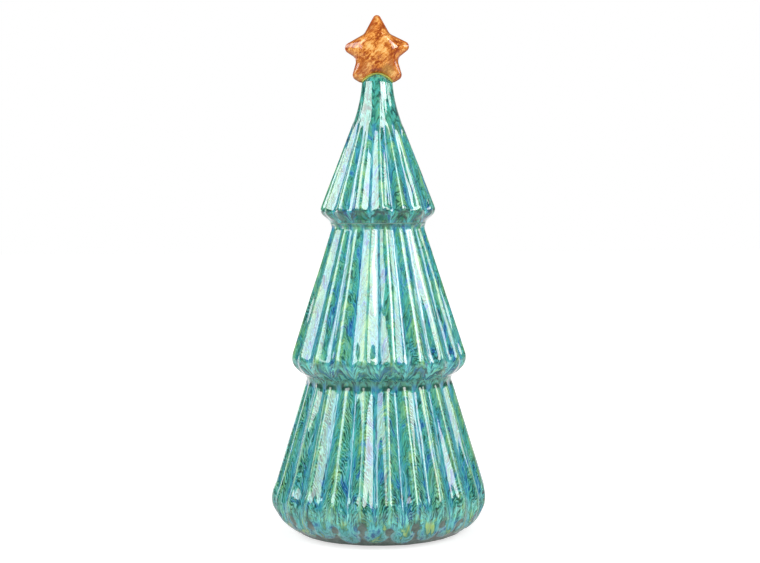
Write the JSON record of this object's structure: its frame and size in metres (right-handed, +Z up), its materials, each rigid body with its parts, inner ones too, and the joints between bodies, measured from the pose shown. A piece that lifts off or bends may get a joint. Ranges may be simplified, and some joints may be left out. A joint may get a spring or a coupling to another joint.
{
  "type": "ceramic christmas tree",
  "caption": "Table-top christmas tree in glossy reactive-glazed stoneware: stacked fluted cone tiers, undercut below each rim, with an amber star on the tip and a felt base.",
  "frame": {"origin": "on the table, under the tree's axis, at the middle of the felt's lower face", "axes": "+Z up along the tree's axis, -Y towards the viewer who faces the flat of the star, +X to that viewer's right"},
  "size_m": [0.131, 0.131, 0.3177],
  "materials": {
    "tree_glaze": "thick glossy reactive glaze, teal and green with blue runs",
    "star_glaze": "glossy mottled amber glaze",
    "fired_slip": "bare fired slip",
    "stoneware": "bare fired stoneware",
    "felt": "pressed wool felt"
  },
  "bodies": {
    "root": {"bottom_tier": "tree_glaze", "middle_tier": "tree_glaze", "top_tier": "tree_glaze", "lower_slip": "fired_slip", "upper_slip": "fired_slip", "star_topper": "star_glaze", "star_slip": "fired_slip", "base_disc": "stoneware", "base_slip": "fired_slip", "felt_base": "felt"}
  },
  "joints": []
}
